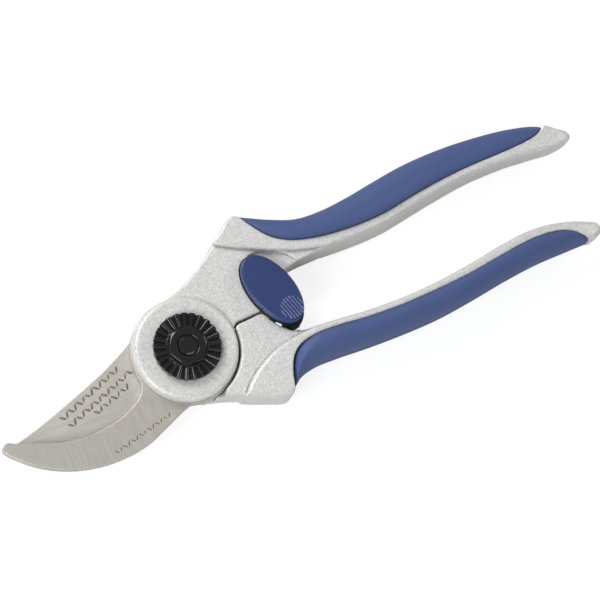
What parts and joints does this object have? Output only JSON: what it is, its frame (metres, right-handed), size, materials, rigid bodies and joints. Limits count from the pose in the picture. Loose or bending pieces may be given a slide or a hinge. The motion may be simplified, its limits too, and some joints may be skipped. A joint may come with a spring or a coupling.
{
  "type": "pruning shears",
  "caption": "Bypass pruning shears with silver cast handles, soft blue grips, a curved hook jaw, a convex blade, a ribbed pivot tension wheel and an oval thumb lock.",
  "frame": {"origin": "on the pivot's axis, in the plane the closed shears lie on, at the outer face of the pivot bolt's head", "axes": "+X towards the handles' ends, +Y towards the upper handle, +Z out of the front face, towards the tension wheel"},
  "size_m": [0.2175, 0.0613, 0.02],
  "materials": {
    "silver_coating": "cast aluminium with a fine sparkle silver coating",
    "blue_grip": "matte moulded rubber",
    "jaw_steel": "satin ground stainless",
    "blade_steel": "satin ground stainless with a hollow-ground edge",
    "screw_steel": "plain steel",
    "bright_steel": "polished steel",
    "bush_bronze": "sintered bronze",
    "black_metal": "black oxide, glossy",
    "black_plastic": "glossy moulded black",
    "blue_plastic": "satin-gloss moulded plastic",
    "spring_steel": "drawn wire"
  },
  "bodies": {
    "upper": {"upper_handle": "silver_coating", "upper_grip": "blue_grip", "hook_jaw": "jaw_steel", "hook_screws": "screw_steel", "pivot_bush": "bush_bronze", "spring_seat_upper": "black_plastic", "main_spring": "spring_steel"},
    "lower": {"lower_handle": "silver_coating", "lower_grip": "blue_grip", "cutting_blade": "blade_steel", "blade_screws": "screw_steel", "pivot_bolt": "black_metal", "pivot_washer": "screw_steel", "wave_washer": "screw_steel", "lock_catch": "bright_steel", "spring_seat_lower": "black_plastic"},
    "adjuster": {"tension_wheel": "black_plastic", "pivot_nut": "black_metal"},
    "lock_lever": {"lock_cap": "blue_plastic", "lock_base": "black_plastic", "lock_pin": "screw_steel", "lock_washer": "screw_steel"}
  },
  "joints": [
    {"name": "pivot", "type": "hinge", "parent": "upper", "child": "lower", "pos_m": [0, 0, 0.009], "axis": [0, 0, -1], "range_deg": [0, 36], "deforming": ["main_spring"]},
    {"name": "wheel_turn", "type": "hinge", "parent": "lower", "child": "adjuster", "pos_m": [0, 0, 0.018], "axis": [0, 0, 1], "continuous": true},
    {"name": "lock_turn", "type": "hinge", "parent": "upper", "child": "lock_lever", "pos_m": [0.0338, 0.0075, 0.015], "axis": [0, 0, 1], "range_deg": [0, 30]}
  ]
}
